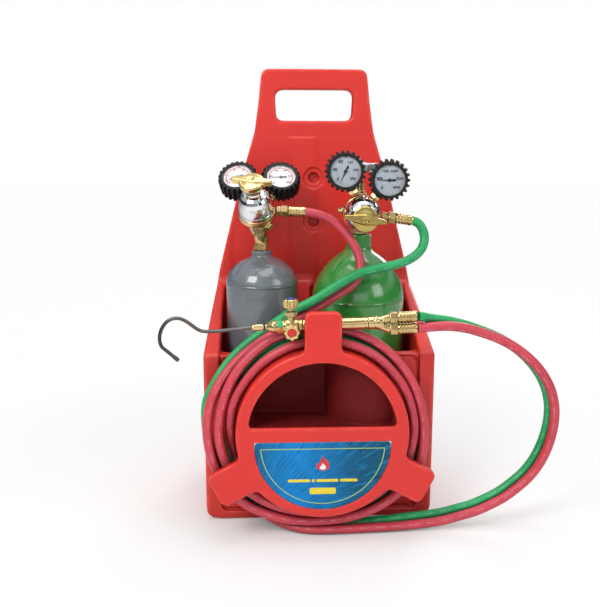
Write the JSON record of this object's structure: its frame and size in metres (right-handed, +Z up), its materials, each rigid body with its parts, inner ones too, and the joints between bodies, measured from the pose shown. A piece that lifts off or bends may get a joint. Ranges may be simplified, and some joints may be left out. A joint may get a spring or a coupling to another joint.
{
  "type": "oxy acetylene torch cart",
  "caption": "Hand-carried moulded tote holding fuel and oxygen cylinders with gauged regulators, welding hoses coiled on a front reel hub and a hand torch with a curved tip",
  "frame": {"origin": "floor level at the centre of the carrier's base, which spans 0.315 m by 0.205 m; the hoses and torch reach beyond it to the front and sides", "axes": "+Z up through the carry handle, -Y is the front with the hose reel, +X is to the right seen from the front, on the side of the oxygen cylinder"},
  "size_m": [0.5271, 0.28, 0.622],
  "materials": {
    "carrier_red": "rotationally moulded polyethylene, fine orange-peel skin",
    "label_print": "printed gloss film",
    "cylinder_grey": "gloss enamel over steel",
    "cylinder_green": "gloss enamel over steel",
    "porous_filler": "dry porous mineral mass",
    "brass": "machined and polished",
    "brass_knob": "cast and polished",
    "handwheel_alloy": "die cast, satin",
    "diaphragm_rubber": "moulded reinforced rubber",
    "chrome": "bright plated brass",
    "spring_steel": "plain steel",
    "rubber_black": "moulded, ribbed",
    "clear_lens": "clear",
    "needle_black": "black enamel",
    "dial_white": "printed white dial",
    "dial_blue_grey": "printed pale blue grey dial",
    "hose_red": "smooth extruded cover",
    "hose_green": "smooth extruded cover",
    "tip_steel": "dark drawn tube"
  },
  "bodies": {
    "carrier": {"carrier_shell": "carrier_red", "hose_hub": "carrier_red", "label_plate": "label_print", "acetylene_cylinder": "cylinder_grey", "oxygen_cylinder": "cylinder_green", "acetylene_porous_mass": "porous_filler", "acetylene_valve_body": "brass", "oxygen_valve_body": "brass", "acetylene_regulator_body": "brass", "acetylene_inlet_nut": "brass", "acetylene_outlet_fitting": "brass", "acetylene_diaphragm": "diaphragm_rubber", "acetylene_regulator_bonnet": "chrome", "acetylene_adjusting_spring": "spring_steel", "oxygen_regulator_body": "brass", "oxygen_inlet_nut": "brass", "oxygen_outlet_fitting": "brass", "oxygen_diaphragm": "diaphragm_rubber", "oxygen_regulator_bonnet": "chrome", "oxygen_adjusting_spring": "spring_steel", "acetylene_outlet_gauge_case": "brass", "acetylene_outlet_gauge_boot": "rubber_black", "acetylene_outlet_gauge_lens": "clear_lens", "acetylene_outlet_gauge_dial": "dial_white", "acetylene_inlet_gauge_case": "brass", "acetylene_inlet_gauge_boot": "rubber_black", "acetylene_inlet_gauge_lens": "clear_lens", "acetylene_inlet_gauge_dial": "dial_white", "oxygen_outlet_gauge_case": "brass", "oxygen_outlet_gauge_boot": "rubber_black", "oxygen_outlet_gauge_lens": "clear_lens", "oxygen_outlet_gauge_dial": "dial_blue_grey", "oxygen_inlet_gauge_case": "brass", "oxygen_inlet_gauge_boot": "rubber_black", "oxygen_inlet_gauge_lens": "clear_lens", "oxygen_inlet_gauge_dial": "dial_blue_grey", "fuel_hose": "hose_red", "oxygen_hose": "hose_green", "fuel_hose_regulator_ferrule": "brass", "oxygen_hose_regulator_ferrule": "brass"},
    "acetylene_button": {"acetylene_spring_button": "spring_steel"},
    "acetylene_knob": {"acetylene_adjusting_knob": "brass_knob"},
    "oxygen_button": {"oxygen_spring_button": "spring_steel"},
    "oxygen_knob": {"oxygen_adjusting_knob": "brass_knob"},
    "handwheel": {"oxygen_valve_handwheel": "handwheel_alloy"},
    "valve_key_square": {"acetylene_valve_spindle": "brass"},
    "acetylene_outlet_needle": {"acetylene_outlet_gauge_needle": "needle_black"},
    "acetylene_inlet_needle": {"acetylene_inlet_gauge_needle": "needle_black"},
    "oxygen_outlet_needle": {"oxygen_outlet_gauge_needle": "needle_black"},
    "oxygen_inlet_needle": {"oxygen_inlet_gauge_needle": "needle_black"},
    "torch": {"torch_handle": "brass", "torch_valve_body": "brass", "mixer_nut": "brass", "torch_rear_block": "brass", "oxygen_hose_torch_ferrule": "brass", "fuel_hose_torch_ferrule": "brass"},
    "torch_oxygen_valve": {"torch_oxygen_knob": "brass_knob"},
    "torch_fuel_valve": {"torch_fuel_knob": "brass_knob"},
    "tip": {"welding_tip": "tip_steel"}
  },
  "joints": [
    {"name": "acetylene_screw_advance", "type": "slide", "parent": "carrier", "child": "acetylene_button", "axis": [0.119, 0.584, -0.803], "range_m": [0, 0.00599]},
    {"name": "acetylene_knob_turn", "type": "hinge", "parent": "acetylene_button", "child": "acetylene_knob", "pos_m": [-0.08445, -0.0342, 0.42315], "axis": [-0.119, -0.584, 0.803], "range_deg": [-1440, 0]},
    {"name": "oxygen_screw_advance", "type": "slide", "parent": "carrier", "child": "oxygen_button", "axis": [0.02, 0.9985, 0.05], "range_m": [0, 0.00599]},
    {"name": "oxygen_knob_turn", "type": "hinge", "parent": "oxygen_button", "child": "oxygen_knob", "pos_m": [0.059, -0.05493, 0.4207], "axis": [-0.02, -0.9985, -0.05], "range_deg": [-1440, 0]},
    {"name": "oxygen_handwheel_turn", "type": "hinge", "parent": "carrier", "child": "handwheel", "pos_m": [0.06, -0.005, 0.48], "axis": [0, 0, 1], "range_deg": [0, 1080]},
    {"name": "acetylene_spindle_turn", "type": "hinge", "parent": "carrier", "child": "valve_key_square", "pos_m": [-0.07764, 0.00823, 0.39411], "axis": [0.0499, 0.765, 0.6421], "range_deg": [0, 540]},
    {"name": "acetylene_outlet_needle_turn", "type": "hinge", "parent": "carrier", "child": "acetylene_outlet_needle", "pos_m": [-0.1122, 0.015, 0.4673], "axis": [-0.13, -0.7352, 0.6652], "range_deg": [-270, 0]},
    {"name": "acetylene_inlet_needle_turn", "type": "hinge", "parent": "carrier", "child": "acetylene_inlet_needle", "pos_m": [-0.0504, 0.015, 0.4671], "axis": [0.06, -0.74, 0.67], "range_deg": [-270, 0]},
    {"name": "oxygen_outlet_needle_turn", "type": "hinge", "parent": "carrier", "child": "oxygen_outlet_needle", "pos_m": [0.0358, -0.058, 0.478], "axis": [-0.05, -0.9985, -0.02], "range_deg": [-270, 0]},
    {"name": "oxygen_inlet_needle_turn", "type": "hinge", "parent": "carrier", "child": "oxygen_inlet_needle", "pos_m": [0.0956, -0.058, 0.4665], "axis": [-0.05, -0.9985, -0.02], "range_deg": [-270, 0]},
    {"name": "torch_lift", "type": "slide", "parent": "carrier", "child": "torch", "axis": [0, 0, 1], "range_m": [0, 0.07]},
    {"name": "torch_oxygen_valve_turn", "type": "hinge", "parent": "torch", "child": "torch_oxygen_valve", "pos_m": [-0.0395, -0.15, 0.2866], "axis": [-0.0366, 0, 0.9993], "range_deg": [0, 900]},
    {"name": "torch_fuel_valve_turn", "type": "hinge", "parent": "torch", "child": "torch_fuel_valve", "pos_m": [-0.03935, -0.15, 0.2826], "axis": [0, -1, 0], "range_deg": [0, 900]},
    {"name": "tip_turn", "type": "hinge", "parent": "torch", "child": "tip", "pos_m": [-0.0395, -0.15, 0.2866], "axis": [0.9993, 0, 0.0366], "range_deg": [-180, 180]}
  ],
  "couplings": [
    {"joint": "acetylene_knob_turn", "follows": "acetylene_screw_advance", "rad_per_m": -4188.8},
    {"joint": "oxygen_knob_turn", "follows": "oxygen_screw_advance", "rad_per_m": -4188.8}
  ]
}
